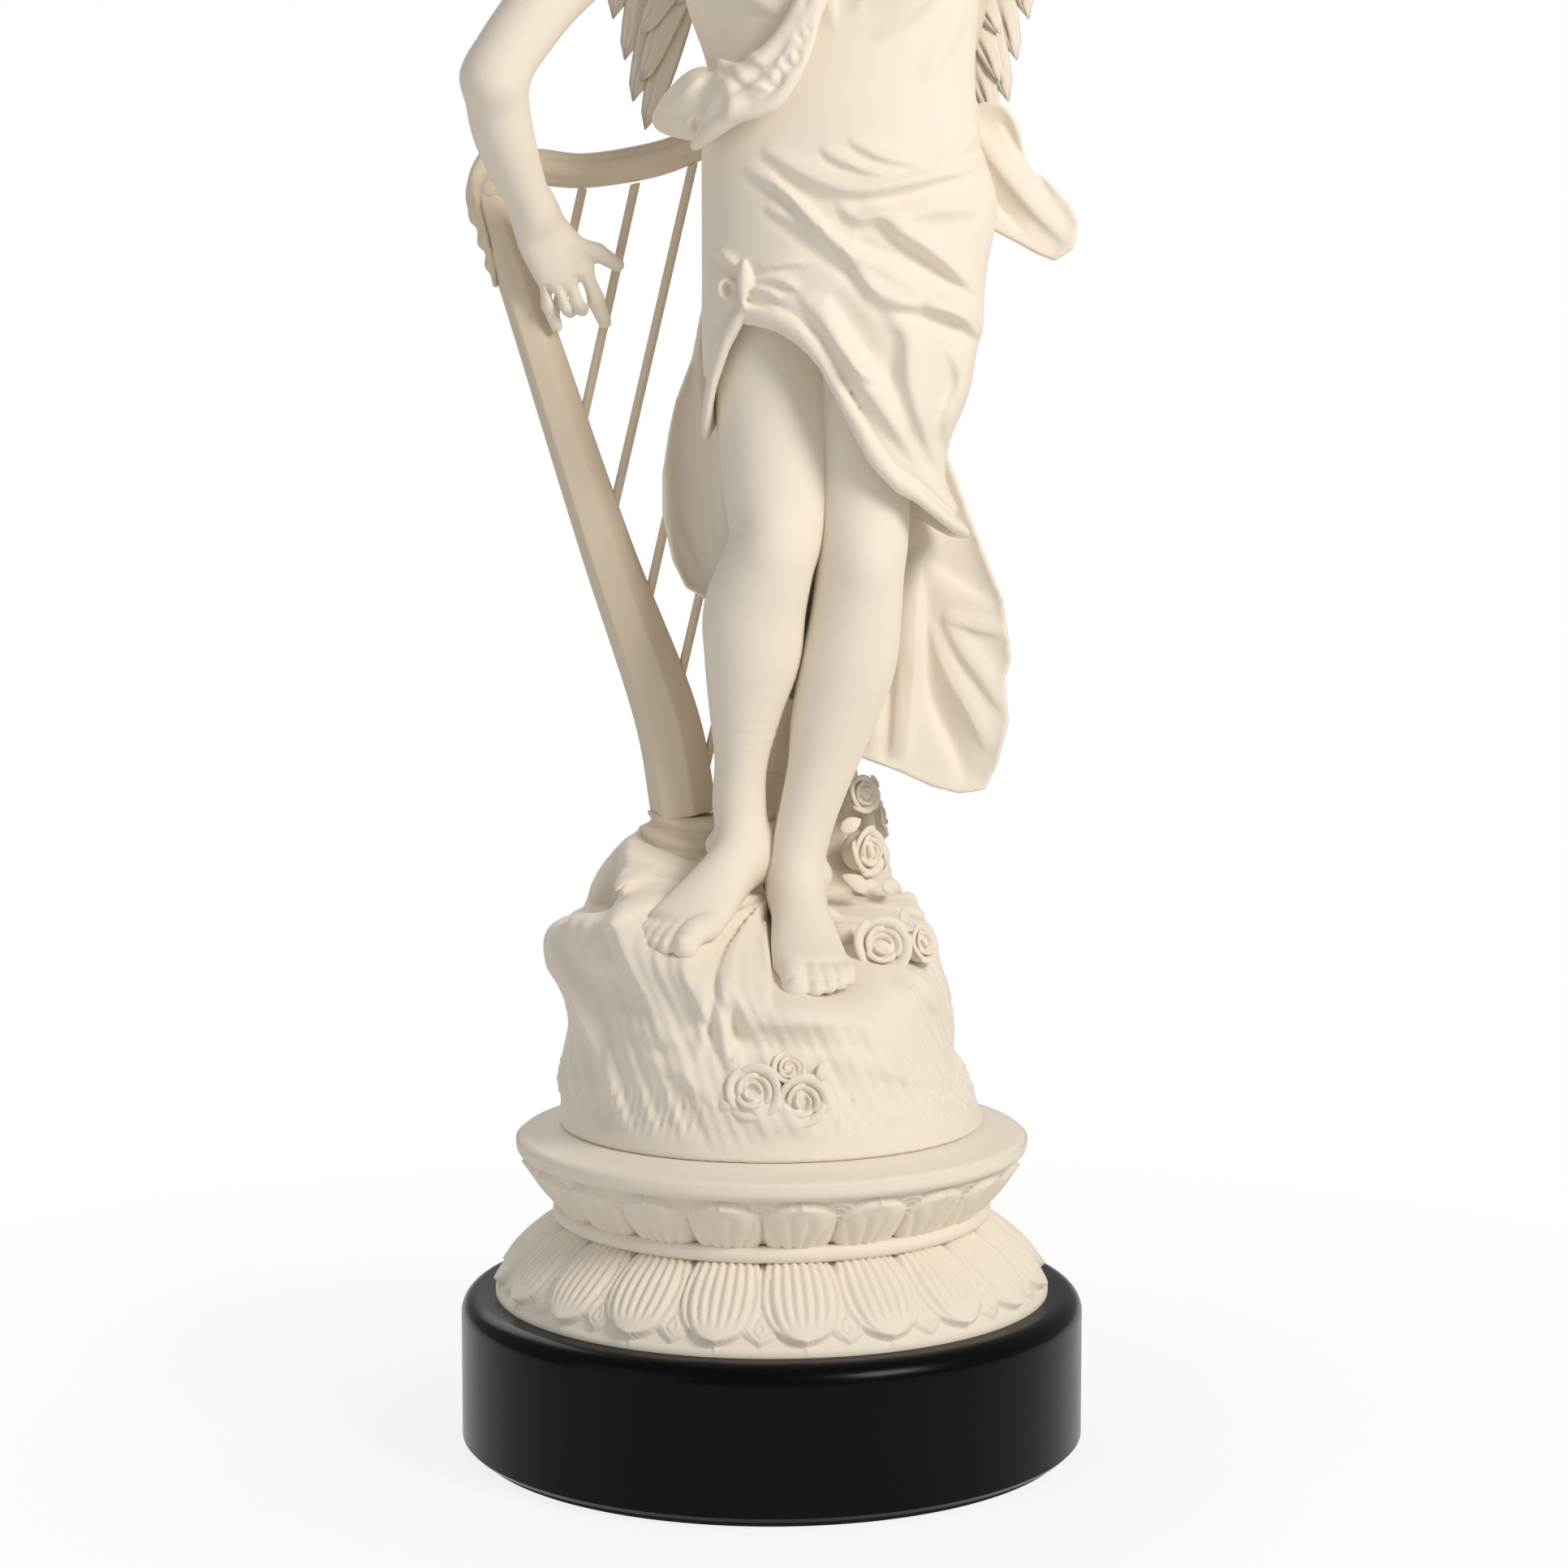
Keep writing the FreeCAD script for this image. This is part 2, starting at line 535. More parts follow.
def side_hole(body):
    """Hole for the switch stem, through the front wall only."""
    sketch = new_sketch(body, body.Name + "StemWay")
    round_section(sketch, "Sizes.knob_stem_radius + Sizes.knob_clearance", "0", "Sizes.knob_height")
    doc.recompute()
    cut = body.newObject("PartDesign::Pocket", body.Name + "StemHole")
    cut.Profile = sketch
    cut.Reversed = True
    cut.setExpression("Length", "Sizes.cap_radius + 1")
    body.Tip = cut


for part in (shell, liner):
    side_hole(part)

knob = new_body("switch_knob", KNOB_LINE, "Sizes.pipe_offset",
                "Sizes.pipe_setback - Sizes.cap_radius")
knob.Placement.Rotation = Rotation(Vector(1, 0, 0), 90)
STEM = "Sizes.knob_stem_radius"
STEM_END = "0 - (Sizes.cap_radius - Sizes.insert_radius - Sizes.stem_gap)"
turned(knob, "KnobTurning", (
    ("0", STEM_END),
    (STEM, STEM_END),
    (STEM, "Sizes.knob_standoff"),
    ("Sizes.knob_radius * 0.6", "Sizes.knob_standoff"),
    ("Sizes.knob_radius", "Sizes.knob_standoff + Sizes.knob_length * 0.35"),
    ("Sizes.knob_radius * 0.85", "Sizes.knob_standoff + Sizes.knob_length"),
    ("0", "Sizes.knob_standoff + Sizes.knob_length"),
))
flute_outline = new_sketch(knob, "FluteOutline", "XY_Plane")
round_section(flute_outline, "Sizes.knob_radius * 0.2", "Sizes.knob_radius")
doc.recompute()
flute = knob.newObject("PartDesign::Pocket", "Flute")
flute.Profile = flute_outline
flute.Reversed = True
flute.setExpression("Length", "Sizes.knob_standoff + Sizes.knob_length + 1")
knob.Tip = flute
doc.recompute()
flutes = knob.newObject("PartDesign::PolarPattern", "Flutes")
flutes.Originals = [flute]
flutes.Axis = ([item for item in knob.Origin.OriginFeatures if item.Role == "Z_Axis"][0], [""])
flutes.Angle = 360
flutes.setExpression("Occurrences", "Sizes.knob_flutes")
knob.Tip = flutes

BULB_LOW = "(%s + Sizes.insert_floor)" % SHELL_LOW
turned_part("bulb_base", BULB_LOW, (
    ("0", "0"),
    ("Sizes.bulb_base_radius * 0.35", "0"),
    ("Sizes.bulb_base_radius * 0.5", "Sizes.bulb_base_length * 0.12"),
    ("Sizes.bulb_base_radius", "Sizes.bulb_base_length * 0.25"),
    ("Sizes.bulb_base_radius", "Sizes.bulb_base_length"),
    ("0", "Sizes.bulb_base_length"),
))
BALL = "(Sizes.bulb_length - Sizes.bulb_radius)"
turned_part("bulb_glass", BULB_LOW + " + Sizes.bulb_base_length", (
    ("0", "0"),
    ("Sizes.bulb_base_radius", "0"),
    ("Sizes.bulb_neck_radius", "Sizes.bulb_length * 0.12", "Sizes.bulb_length", 1),
    ("Sizes.bulb_radius", BALL, "Sizes.bulb_radius", -1),
    ("0", "Sizes.bulb_length"),
))

# ------------------------------------------------------------------ shade and finial

SHADE_LOW = "(%s - Sizes.shade_drop - Sizes.shade_height)" % SEAT
SLOPE = "((Sizes.shade_bottom_radius - Sizes.shade_top_radius) / Sizes.shade_height)"
SKIN = "(Sizes.shade_wall * sqrt(1 + %s * %s))" % (SLOPE, SLOPE)
turned_part("shade_shell", SHADE_LOW, (
    ("Sizes.shade_bottom_radius - " + SKIN, "0"),
    ("Sizes.shade_bottom_radius", "0"),
    ("Sizes.shade_top_radius", "Sizes.shade_height"),
    ("Sizes.shade_top_radius - " + SKIN, "Sizes.shade_height"),
))
WIRE_RISE = "(%s * Sizes.shade_ring_wire)" % SLOPE
WIRE_OFF = "((Sizes.shade_ring_wire + Sizes.ring_gap) * sqrt(1 + %s * %s))" % (SLOPE, SLOPE)
LOW_WIRE = "(Sizes.shade_bottom_radius - %s - %s - %s)" % (SKIN, WIRE_RISE, WIRE_OFF)
TOP_WIRE = "(Sizes.shade_top_radius - %s + %s - %s)" % (SKIN, WIRE_RISE, WIRE_OFF)
for label, radius, height in (
        ("shade_ring_bottom", LOW_WIRE, "Sizes.shade_ring_wire"),
        ("shade_ring_top", TOP_WIRE, "Sizes.shade_height - Sizes.shade_ring_wire")):
    ring = pipe_body(label, SHADE_LOW)
    ring_outline = new_sketch(ring, label + "_outline")
    round_section(ring_outline, "Sizes.shade_ring_wire", radius, height)
    hoop = ring.newObject("PartDesign::Revolution", label + "_hoop")
    hoop.Profile = ring_outline
    hoop.ReferenceAxis = (ring_outline, ["V_Axis"])
    ring.Tip = hoop

spider = turned_part("shade_spider", SEAT, (
    ("Sizes.stud_radius + Sizes.spider_clearance", "0"),
    ("Sizes.spider_radius", "0"),
    ("Sizes.spider_radius", "Sizes.spider_thickness"),
    ("Sizes.stud_radius + Sizes.spider_clearance", "Sizes.spider_thickness"),
))
arm_line = new_sketch(spider, "ArmLine")
ARM_START = Vector(size("Sizes.spider_radius * 0.7"), size("Sizes.spider_thickness / 2"), 0)
ARM_END = Vector(size(TOP_WIRE + " - Sizes.shade_ring_wire - Sizes.ring_gap"),
                 size("0 - Sizes.shade_drop - Sizes.shade_ring_wire"), 0)
arm_line.addGeometry(Part.LineSegment(ARM_START, ARM_END), False)
arm_section = new_sketch(spider, "ArmSection", "YZ_Plane")
arm_section.AttachmentOffset = Placement(Vector(0, 0, ARM_START.x), Rotation())
round_section(arm_section, "Sizes.spider_arm_radius", "0", "Sizes.spider_thickness / 2")
doc.recompute()
arm = spider.newObject("PartDesign::AdditivePipe", "Arm")
arm.Profile = arm_section
arm.Spine = arm_line
spider.Tip = arm
doc.recompute()
arms = spider.newObject("PartDesign::PolarPattern", "Arms")
arms.Originals = [arm]
arms.Axis = ([item for item in spider.Origin.OriginFeatures if item.Role == "Z_Axis"][0], [""])
arms.Angle = 360
arms.setExpression("Occurrences", "Sizes.spider_arms")
spider.Tip = arms

FINIAL = "Sizes.finial_radius"
TALL = "Sizes.finial_height"
WELL = "Sizes.stud_height - Sizes.spider_thickness - Sizes.finial_gap + Sizes.stem_gap"
turned_part("finial", SEAT + " + Sizes.spider_thickness + Sizes.finial_gap", (
    ("Sizes.stud_radius + Sizes.finial_clearance", "0"),
    (FINIAL + " * 0.85", "0"),
    (FINIAL + " * 0.85", TALL + " * 0.1"),
    (FINIAL + " * 0.45", TALL + " * 0.22"),
    (FINIAL + " * 0.45", TALL + " * 0.34", FINIAL + " * 0.85", -1),
    (FINIAL + " * 0.3", TALL + " * 0.74"),
    (FINIAL + " * 0.3", TALL + " * 0.8"),
    (FINIAL + " * 0.5", TALL + " * 0.86", FINIAL + " * 0.8", -1),
    (FINIAL + " * 0.12", TALL),
    ("0", TALL),
    ("0", WELL),
    ("Sizes.stud_radius + Sizes.finial_clearance", WELL),
))

# ------------------------------------------------------------------ cast figure: helpers
# Cast pieces are lofts through ovals.  A station is (x, y, z, half width, half depth),
# z counted from the top of the rock.

GROUND_Z = size(GROUND)
PIPE = Vector(size("Sizes.pipe_offset"), size("Sizes.pipe_setback"), 0)
UP = Vector(0, 0, 1)


def cast(label, shape):
    """Keep a modelled shape as a sub-part; its heights are counted from the rock's top."""
    piece = doc.addObject("Part::Feature", label)
    piece.Shape = shape
    piece.Placement = Placement(Vector(0, 0, GROUND_Z), Rotation())
    return finish(piece, label)


def oval(centre, across, along, half_across, half_along):
    """Closed smooth curve around a centre, in the plane of two unit directions."""
    points = []
    for step in range(8):
        angle = math.pi * step / 4
        points.append(centre + across * (half_across * math.cos(angle))
                      + along * (half_along * math.sin(angle)))
    curve = Part.BSplineCurve()
    curve.interpolate(Points=points, PeriodicFlag=True)
    return Part.Wire([curve.toShape()])


def level_loft(stations):
    """Loft through level ovals."""
    rings = [oval(Vector(x, y, z), Vector(1, 0, 0), Vector(0, 1, 0), wide, deep)
             for x, y, z, wide, deep in stations]
    return Part.makeLoft(rings, True, False, False, 3)


def limb(stations, side=Vector(1, 0, 0)):
    """Loft through ovals square to the line of their centres; side points to the width."""
    centres = [Vector(*station[:3]) for station in stations]
    rings = []
    for number, station in enumerate(stations):
        before = centres[max(number - 1, 0)]
        after = centres[min(number + 1, len(centres) - 1)]
        line = (after - before).normalize()
        deep = line.cross(side).normalize()
        wide = deep.cross(line).normalize()
        rings.append(oval(centres[number], wide, deep, station[3], station[4]))
    return Part.makeLoft(rings, True, False, False, 3)


def slab(outline, front, back):
    """Straight-sided solid from a front outline of (x, z) corners, between two depths."""
    corners = [Vector(x, front, z) for x, z in outline]
    face = Part.Face(Part.makePolygon(corners + corners[:1]))
    return face.extrude(Vector(0, back - front, 0))


def below(point, normal, reach=400):
    """Big block on the far side of a plane, to cut with; normal points into the block."""
    block = Part.makeBox(2 * reach, 2 * reach, reach, Vector(-reach, -reach, 0))
    block.Placement = Placement(point, Rotation(UP, normal))
    return block


def mirrored(shape, axis_x):
    """The shape reflected across an upright plane at axis_x."""
    return shape.mirror(Vector(axis_x, 0, 0), Vector(1, 0, 0))


def clear(shape, *others):
    """The shape less each neighbour that it reaches, keeping its largest solid."""
    for other in others:
        if shape.BoundBox.intersect(other.BoundBox):
            shape = shape.cut(other)
    return max(shape.Solids, key=lambda solid: solid.Volume)


def standing(shape, plane):
    """The shape cut flat where it stands on a plane of the rock."""
    point, normal = plane
    return clear(shape, below(point, normal.negative()))


PIPE_WAY = Part.makeCylinder(size(INNER), 900, PIPE - UP * 400)

# ------------------------------------------------------------------ legs

RIGHT_LEG = (
    (-2, -4, 182, 17.0, 17.5), (0.8, -6, 151, 17.6, 17.5), (1.5, -9, 127, 15.9, 16),
    (1.5, -11, 113, 14.0, 14.5), (-1, -11.5, 104, 13.8, 14.5), (-5, -8, 90, 15.3, 14.3),
    (-5.6, -5, 77, 14.6, 14.2), (-7.6, -2, 62, 11.4, 12.2), (-9.2, 1, 44, 8.1, 9.5),
    (-9.8, 3, 30, 8.2, 9.2), (-7.5, 4, 15, 7.5, 9.5),
)
RIGHT_FOOT = (
    (-2.2, 13, 14, 3.5, 4.5), (-4, 9.5, 13.5, 7.2, 7.5), (-9.5, 0, 14, 8, 10.5),
    (-14.5, -9, 9, 8.6, 9), (-20.5, -19.5, 3, 10.4, 6.5), (-25.5, -28, -1.5, 11.6, 4.8),
    (-29.5, -35, -5, 11, 3.6), (-32.5, -40.5, -7, 7.8, 2.4),
)
LEFT_LEG = (
    (24, -2, 175, 15.5, 16), (26.4, -6, 141, 14.6, 15.5), (27.5, -8, 115, 13.6, 13.5),
    (26.5, -8, 102, 13.2, 13.5), (25, -5, 86, 13.8, 13.8), (23, -3, 74, 14.4, 14),
    (18.8, -1, 58, 12.8, 12.4), (15.2, 0, 43, 10.3, 10.2), (11, 1, 28, 8.8, 9.4),
    (7.6, 1, 13, 8.3, 9.6), (7, 1, 4, 8, 10),
)
LEFT_FOOT = (
    (6.4, 12.5, 5, 3.6, 4.5), (6.8, 9, 4.5, 7.4, 7.5), (7.8, -2, 3, 8.2, 10.5),
    (9, -12, -3, 9, 9), (10.4, -23, -9, 10.6, 6.5), (11.8, -33, -13.5, 11.8, 4.8),
    (12.8, -41, -16.5, 11.4, 3.6), (13.4, -47, -18.5, 8.2, 2.4),
)


def toes(foot, count=5):
    """Five rounded toes side by side across the front of a foot, the big toe inside."""
    tip, ball = Vector(*foot[-1][:3]), Vector(*foot[-3][:3])
    line = (tip - ball).normalize()
    across = line.cross(UP).normalize()
    inner = 1 if foot is RIGHT_FOOT else -1
    width = foot[-3][3]
    shapes = []
    for number in range(count):
        radius = 3.4 - 0.35 * number
        offset = across * (inner * (width - 3.2 - number * (2 * width - 6) / (count - 1)))
        reach = 3.5 - 1.6 * number
        shapes.append(Part.makeSphere(radius, tip + offset + line * reach
                                      + UP * (radius - 3.2)))
    return shapes


def leg(stations, foot):
    return level_loft(stations).fuse([limb(foot)] + toes(foot)).removeSplitter()


right_leg_shape = leg(RIGHT_LEG, RIGHT_FOOT)
left_leg_shape = leg(LEFT_LEG, LEFT_FOOT)

# ------------------------------------------------------------------ rock, stump and roses

ROCK = size("Sizes.rock_radius")
RISE = size("Sizes.rock_height")
rock_shape = level_loft((
    (0, 0, -RISE, ROCK, ROCK), (-1, 0, -RISE * 0.9, ROCK * 0.975, ROCK * 0.975),
    (-2, 1, -RISE * 0.6, ROCK * 0.92, ROCK * 0.93), (-4, 3, -RISE * 0.3, ROCK * 0.9, ROCK * 0.86),
    (-5, 5, -4, ROCK * 0.86, ROCK * 0.78), (-3, 8, 22, ROCK * 0.66, ROCK * 0.55),
))
TOP_PLANE = (Vector(0, 0, 2), Vector(0.2, -0.45, 1))
LEDGE_PLANE = (Vector(0, 0, -4), Vector(0, -0.36, 1))
LEDGE_WALL, LEDGE_BACK = -1.5, 20.0
rock_shape = rock_shape.cut(below(*TOP_PLANE))
lobe = limb(((-38, 2, -24, 15, 12), (-52, 0, -14, 13, 11), (-61, -1, -9, 8, 7),
             (-64, -1, -8, 3, 3)), Vector(0, 1, 0))
rock_shape = rock_shape.fuse(lobe).removeSplitter()
ledge = below(*LEDGE_PLANE).common(
    Part.makeBox(ROCK * 2, ROCK * 2, RISE * 2, Vector(LEDGE_WALL, LEDGE_BACK - ROCK * 2, -RISE)))
rock_shape = rock_shape.cut(ledge)

STUMP = ((17, 38, -12, 19, 13), (16, 38, 10, 15, 11), (15, 37.5, 32, 12, 9.5),
         (14, 37, 50, 9.5, 8.5), (13.5, 37, 56, 7.5, 7.5))
stump_shape = level_loft(STUMP)


def rose(centre, facing, radius):
    """Open rose: a cupped ball with a bud standing in the cup."""
    turn = Placement(centre, Rotation(UP, facing))
    ball = Part.makeSphere(radius)
    cup = Part.makeCone(radius * 0.35, radius * 0.85, radius * 0.9, Vector(0, 0, radius * 0.15))
    bud = Part.makeCone(radius * 0.4, radius * 0.2, radius * 0.8)
    bloom = ball.cut(cup).fuse(bud)
    bloom.Placement = turn
    return bloom


ROCK_ROSES = (
    ((-4.7, -61, -46.5), (-0.1, -1, 0.25), 9.0), ((9, -62, -47.5), (0.25, -1, 0.2), 8.0),
    ((3, -58, -38.5), (0, -1, 0.6), 5.5), ((36, -19, -9), (0.3, -1, 0.5), 9.5),
    ((47, -12, -12), (0.8, -0.7, 0.4), 7.5),
)
STUMP_ROSES = (
    ((29, 24, 31), (0.6, -0.7, 0.4), 7.0), ((29, 19, 13), (0.5, -0.8, 0.3), 7.5),
    ((33, 34, 22), (1, 0, 0.3), 6.5), ((4, 47, 34), (-0.3, 1, 0.3), 7.0),
    ((22, 50, 27), (0.3, 1, 0.2), 7.5), ((-1, 44, 25), (-0.7, 0.7, 0.2), 6.0),
)


def roses(table):
    return [rose(Vector(*place), Vector(*facing), radius) for place, facing, radius in table]

# ------------------------------------------------------------------ body, tunic and drapery

TORSO = (
    (20, -9, 240, 40, 24), (20.5, -9, 255, 39.5, 24), (18, -10, 270, 43, 26),
    (17.5, -10, 283, 44, 26), (17, -8, 295, 45, 22), (17, -6, 304, 42, 16), (16.5, -5, 311, 30, 12),
    (16, -4, 318, 12, 10),
)
TUNIC = (
    (23, -4, 98, 33, 18), (22, -6, 115, 32, 20), (20.5, -8, 127, 31, 22), (20, -9, 139, 31, 24),
    (20, -10, 150, 36, 25), (20.5, -10, 170, 41, 26), (21.5, -10, 190, 42, 26),
    (23, -10, 210, 43.5, 26), (21, -9.5, 225, 41.5, 25), (20, -9, 240, 40, 24),
)
HEM_POINT = Vector(-8, -22, 181)
HEM_SLOPE = Vector(-0.99, -0.6, -1)
SASH = (
    (-31, 2, 231, 3, 5), (-24, -14, 238, 8, 9), (-12, -28, 244, 8, 8), (-1, -33, 254, 7, 7),
    (8, -34, 266, 6.5, 6.5), (17, -34, 282, 6, 6), (26, -28, 296, 6, 6), (34, -16, 308, 5.5, 5.5),
)
torso_shape = level_loft(TORSO)
for bust_x in (3, 33):
    torso_shape = torso_shape.fuse(Part.makeSphere(14.5, Vector(bust_x, -25.5, 281)))
tunic_shape = level_loft(TUNIC).cut(below(HEM_POINT, HEM_SLOPE))
sash_shape = limb(SASH, Vector(0, 1, 0))


def folded(outline, folds, top, low, middle, swing, thick):
    """Hanging cloth: a band of upright folds, cut to a front outline.
    Between the heights top and low the swing of the folds grows from a third to full."""
    left = min(x for x, z in outline) - 2
    right = max(x for x, z in outline) + 2
    rings = []
    for height, share in ((low - 2, 1.0), (top + 2, 0.35)):
        front, back = [], []
        for step in range(4 * folds + 1):
            x = left + (right - left) * step / (4 * folds)
            wave = math.sin(math.pi * step / 2) * swing * share
            front.append(Vector(x, middle + wave - thick / 2, height))
            back.append(Vector(x, middle + wave + thick / 2, height))
        loop = front + back[::-1]
        rings.append(Part.makePolygon(loop + loop[:1]))
    band = Part.makeLoft(rings, True, True)
    return band.common(slab(outline, middle - 40, middle + 40))


TRAIN = ((22, 170), (48, 150), (60, 118), (64, 108), (70.5, 92), (73, 70), (72.4, 55), (69, 42),
         (65, 34), (49, 35), (38, 40), (27, 44), (16, 52), (5, 62), (-8, 64), (-8, 170))
SIDE_FALL = ((-18, 215), (-21, 180), (-24, 165), (-31, 143), (-33, 118), (-30, 104), (-20, 92.5),
             (-8.5, 80), (-8.5, 215))
HIP_FALL = ((56, 238), (64, 241), (70, 236), (76.5, 231.5), (83, 218), (92, 200), (90, 195),
            (84, 194), (75, 197), (66, 203), (56, 206))
train_shape = folded(TRAIN, 5, 170, 34, 12.0, 3.0, 3.6)
side_shape = folded(SIDE_FALL, 2, 215, 80, 12.5, 1.6, 3.6)
hip_shape = folded(HIP_FALL, 2, 241, 194, 8.0, 2.2, 4.0)

# ------------------------------------------------------------------ arms and hands

RIGHT_UPPER_ARM = (
    (-20, -6, 303, 11, 11), (-34, -9, 297, 12, 12), (-50, -15, 284, 11, 11),
    (-65, -22, 268, 10.5, 10), (-76, -27, 252.5, 9.8, 9.6), (-80, -28.5, 245, 8.8, 8.8),
)
RIGHT_FOREARM = (
    (-80.5, -27, 244, 9, 9.2), (-80.5, -18, 232, 9.4, 10), (-77.5, -7, 218.5, 7.8, 8.4),
    (-72.5, 3, 208, 5.6, 7.2),
)
RIGHT_PALM = ((-73, 2, 209, 7, 5.4), (-69, 6, 202, 8.6, 5), (-64, 9.5, 194.5, 9.6, 4.6),
              (-60, 12, 188, 8.5, 3.8))
RIGHT_FINGERS = (
    ((-55.5, 12, 189), (-52.5, 15, 182), (-50.8, 18.5, 176.5), 2.7),
    ((-59.5, 13, 186.5), (-57.5, 11, 179.5), (-57, 15, 177.5), 2.7),
    ((-63, 12.5, 185.5), (-61.5, 10.5, 179), (-60.8, 14.5, 177), 2.6),
    ((-67, 11.5, 187), (-66, 12.5, 180), (-64.6, 15.5, 174), 2.4),
    ((-60, 9, 198), (-52, 13.5, 196), (-46.5, 17.5, 193.5), 3.0),
)
LEFT_UPPER_ARM = (
    (54, -6, 303, 11, 11), (68, -9, 303, 11.5, 11.5), (84, -13, 309, 10.6, 10.6),
    (98, -16, 316, 9.8, 9.8), (111, -17, 323, 9, 9),
)
LEFT_FOREARM = (
    (111.5, -16, 323.5, 9, 9), (110, -6, 334, 9.8, 9.6), (106, 3, 343, 8.8, 8.4),
    (100.5, 10, 351, 7.4, 6.4), (96, 15, 356.5, 6.4, 5.4),
)
LEFT_PALM = ((96.4, 14.5, 356, 6.6, 5.2), (92.5, 18, 361.5, 8.2, 4.6), (88.5, 21, 367, 8.4, 4.2),
             (85.5, 22.5, 371, 7, 3.6))
LEFT_FINGERS = (
    ((83.5, 17, 371), (78.5, 15.5, 370), (75.5, 15.0, 364), 2.5),
    ((83.5, 21, 373.5), (77.5, 20.5, 374), (73.0, 19.5, 368), 2.6),
    ((84, 25, 374), (78, 26, 374.5), (73.5, 27, 368.5), 2.5),
    ((85, 28.5, 372.5), (80, 30, 372), (76.5, 31, 366.5), 2.2),
    ((90, 15.5, 366), (86, 12.5, 361), (84.5, 13.5, 355), 2.8),
)


def finger(root, knuckle, tip, radius):
    """Two tapered joints and three round knuckles."""
    points = [Vector(*root), Vector(*knuckle), Vector(*tip)]
    sizes = [radius, radius * 0.92, radius * 0.72]
    pieces = [Part.makeSphere(sizes[number], points[number]) for number in range(3)]
    for number in range(2):
        run = points[number + 1] - points[number]
        pieces.append(Part.makeCone(sizes[number], sizes[number + 1], run.Length,
                                    points[number], run))
    return pieces


def arm(upper, fore, palm, fingers, palm_side):
    """Arm, palm and five fingers in one piece; palm_side points across the palm."""
    elbow = Part.makeSphere(max(fore[0][3:]) * 1.02, Vector(*fore[0][:3]))
    whole = limb(upper, Vector(0, 1, 0)).fuse([elbow, limb(fore), limb(palm, palm_side)])
    for places in fingers:
        whole = whole.fuse(finger(*places))
    return whole.removeSplitter()


right_arm_shape = arm(RIGHT_UPPER_ARM, RIGHT_FOREARM, RIGHT_PALM, RIGHT_FINGERS,
                      Vector(1, 0, 0.2))
left_arm_shape = arm(LEFT_UPPER_ARM, LEFT_FOREARM, LEFT_PALM, LEFT_FINGERS,
                     Vector(0.3, 1, 0))

# ------------------------------------------------------------------ head and hair
# The head is drawn level around its own middle, then tilted towards the harp.

HEAD_PLACE = Placement(Vector(12, -9, 364), Rotation(UP, -16).multiply(
    Rotation(Vector(1, 0, 0), 10)))
HEAD = (
    (0, -13, -26.5, 4.5, 4), (0, -11.5, -23, 8.5, 8.5), (0, -7.5, -16, 13.2, 14.5),
    (0, -4, -8, 15.8, 18.5), (0, -2, 0, 17, 21), (0, -1, 8, 18, 22.5), (0, 0.5, 17, 17, 21),
    (0, 1.5, 23, 13, 16.5), (0, 2, 26.5, 6, 8),
)
NOSE = ((0, -20.5, 2, 1.4, 2), (0, -23, -3, 2.0, 2.6), (0, -24.6, -7, 2.8, 2.8),
        (0, -21, -9.5, 1.6, 1.6))
HAIR = (
    (0, 8, -13, 9, 12), (0, 4, -6, 17, 18.5), (0, 2, 2, 20, 23), (0, 1.5, 10, 20.6, 24.4),
    (0, 2, 19, 18.5, 22.5), (0, 2, 26, 14, 17.5), (0, 2, 30, 5.5, 7),
)
BUN = ((0, 16, -2, 5, 4), (0, 22, 1, 9, 9), (0, 28, 3, 8, 8), (0, 32, 4, 3, 3))
NECK = ((16, -4, 312, 13, 12), (15.5, -4.5, 320, 10, 10), (14, -4, 332, 9, 9.4),
        (12.5, -4, 346, 9.4, 10))
head_shape = level_loft(HEAD).fuse(limb(NOSE))
head_shape.Placement = HEAD_PLACE
neck_shape = level_loft(NECK)
hair_shape = level_loft(HAIR).cut(below(Vector(0, -13.5, 8), Vector(0, -1, -0.75)))
hair_shape = hair_shape.fuse(limb(BUN))
hair_shape.Placement = HEAD_PLACE

# ------------------------------------------------------------------ wings

WING_AXIS = 15.0
WING_EDGE = ((25, 292), (27, 335), (38, 372), (56, 392), (76, 396), (92, 386), (99, 366))
WING_TIPS = ((100, 345), (98, 322), (94, 300), (88, 279), (81, 260), (75, 246), (66, 258),
             (57, 270), (46, 280), (34, 285))
WING_ROOT = (56, 374)
WING_LAYERS = ((1.0, 2.4), (0.74, 5.2), (0.5, 8.0))
WING_DEPTH = 38.5
FEATHER_NOTCH = 4.5


def feather_plate(share, thick):
    """Plate with a rounded feather tip between each pair of notches, scaled about the root."""
    root = Vector(WING_ROOT[0], WING_DEPTH - thick / 2, WING_ROOT[1])

    def place(spot):
        return root + Vector(spot[0] - WING_ROOT[0], 0, spot[1] - WING_ROOT[1]) * share

    edge = [place(spot) for spot in WING_EDGE]
    tips = [place(spot) for spot in WING_TIPS]
    lines = [Part.LineSegment(before, after).toShape() for before, after in zip(edge, edge[1:])]
    hollow = edge[-1]
    for tip, following in zip(tips, tips[1:] + [None]):
        if following is None:
            notch = edge[0]
        else:
            notch = (tip + following) / 2
            notch = notch + (root - notch).normalize() * FEATHER_NOTCH * share
        lines.append(Part.Arc(hollow, tip, notch).toShape())
        hollow = notch
    return Part.Face(Part.Wire(lines)).extrude(Vector(0, thick, 0))


